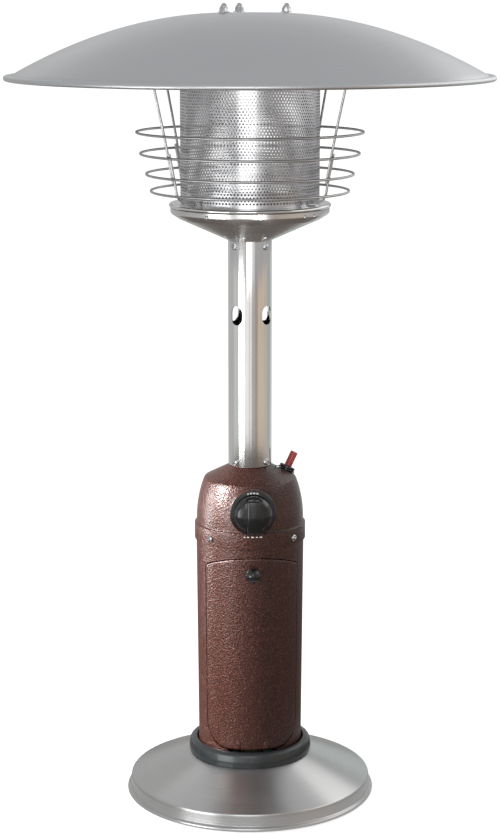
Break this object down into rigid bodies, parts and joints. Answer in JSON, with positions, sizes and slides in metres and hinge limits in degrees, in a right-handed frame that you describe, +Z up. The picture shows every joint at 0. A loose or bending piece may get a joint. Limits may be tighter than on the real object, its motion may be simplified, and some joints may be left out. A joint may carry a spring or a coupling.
{
  "type": "table-top patio heater",
  "caption": "Table-top gas patio heater: spun base, cylindrical housing with door and knob, steel post, perforated emitter in a wire guard, domed reflector.",
  "frame": {"origin": "centre of the base at table level, on the underside of the rubber feet", "axes": "+Z up along the heater's axis; the control knob and the door face -Y; the igniter is on the +X side"},
  "size_m": [0.5754, 0.5754, 0.965],
  "materials": {
    "hammered_bronze": "hammered powder coat, metallic bronze",
    "brushed_base": "spun and brushed",
    "polished_steel": "polished",
    "emitter_steel": "perforated, bright",
    "satin_aluminium": "satin",
    "guard_wire": "bright drawn wire",
    "zinc_plated": "zinc plated",
    "black_plastic": "gloss",
    "black_ring": "semi-gloss",
    "red_plastic": "semi-gloss",
    "rubber": "matt",
    "brass": "bare",
    "cast_zinc": "die cast",
    "painted_iron": "painted",
    "cylinder_paint": "semi-gloss paint",
    "ceramic": "glazed"
  },
  "bodies": {
    "stand": {"base_bolt_1": "zinc_plated", "base_bolt_2": "zinc_plated", "base_bolt_3": "zinc_plated", "base_cone": "brushed_base", "base_weight": "painted_iron", "burner_bowl": "polished_steel", "burner_head": "cast_zinc", "burner_pipe": "brass", "burner_plate": "polished_steel", "cylinder_cradle": "zinc_plated", "door_catch": "painted_iron", "emitter": "emitter_steel", "emitter_cap": "emitter_steel", "foot_1": "rubber", "foot_2": "rubber", "foot_3": "rubber", "foot_ring": "black_ring", "gas_cylinder": "cylinder_paint", "gas_valve": "cast_zinc", "hinge_pin": "zinc_plated", "housing_screw_1": "zinc_plated", "housing_screw_2": "zinc_plated", "housing_screw_3": "zinc_plated", "housing_screw_4": "zinc_plated", "igniter_body": "black_plastic", "igniter_collar": "black_plastic", "knob_bezel": "black_plastic", "lower_housing": "hammered_bronze", "pilot_burner": "brass", "pilot_pipe": "brass", "post": "polished_steel", "post_screw_low_1": "zinc_plated", "post_screw_low_2": "zinc_plated", "post_screw_low_3": "zinc_plated", "post_screw_low_4": "zinc_plated", "post_screw_top_1": "zinc_plated", "post_screw_top_2": "zinc_plated", "post_screw_top_3": "zinc_plated", "post_screw_top_4": "zinc_plated", "post_socket": "zinc_plated", "reflector": "satin_aluminium", "reflector_nut_1": "zinc_plated", "reflector_nut_2": "zinc_plated", "reflector_nut_3": "zinc_plated", "reflector_stud_1": "zinc_plated", "reflector_stud_2": "zinc_plated", "reflector_stud_3": "zinc_plated", "regulator": "cast_zinc", "spark_electrode": "ceramic", "tilt_switch": "black_plastic", "valve_bracket": "zinc_plated", "valve_feed_pipe": "brass", "valve_housing": "hammered_bronze", "wire_guard": "guard_wire"},
    "door": {"door_panel": "hammered_bronze", "door_knob": "black_plastic"},
    "valve_plug": {"valve_plug": "brass"},
    "knob": {"control_knob": "black_plastic", "valve_stem": "zinc_plated"},
    "igniter_button": {"igniter_button": "red_plastic"}
  },
  "joints": [
    {"name": "door_tilt", "type": "hinge", "parent": "stand", "child": "door", "pos_m": [0, -0.0572, 0.077], "axis": [1, 0, 0], "range_deg": [0, 70]},
    {"name": "knob_turn", "type": "hinge", "parent": "stand", "child": "valve_plug", "pos_m": [0, -0.0682, 0.3704], "axis": [0, -1, 0], "range_deg": [0, 180]},
    {"name": "knob_push", "type": "slide", "parent": "valve_plug", "child": "knob", "axis": [0, 1, 0], "range_m": [0, 0.004], "stiffness_N_per_m": 800},
    {"name": "igniter_press", "type": "slide", "parent": "stand", "child": "igniter_button", "axis": [-0.4335, -0.1325, -0.8913], "range_m": [0, 0.007], "stiffness_N_per_m": 900}
  ]
}
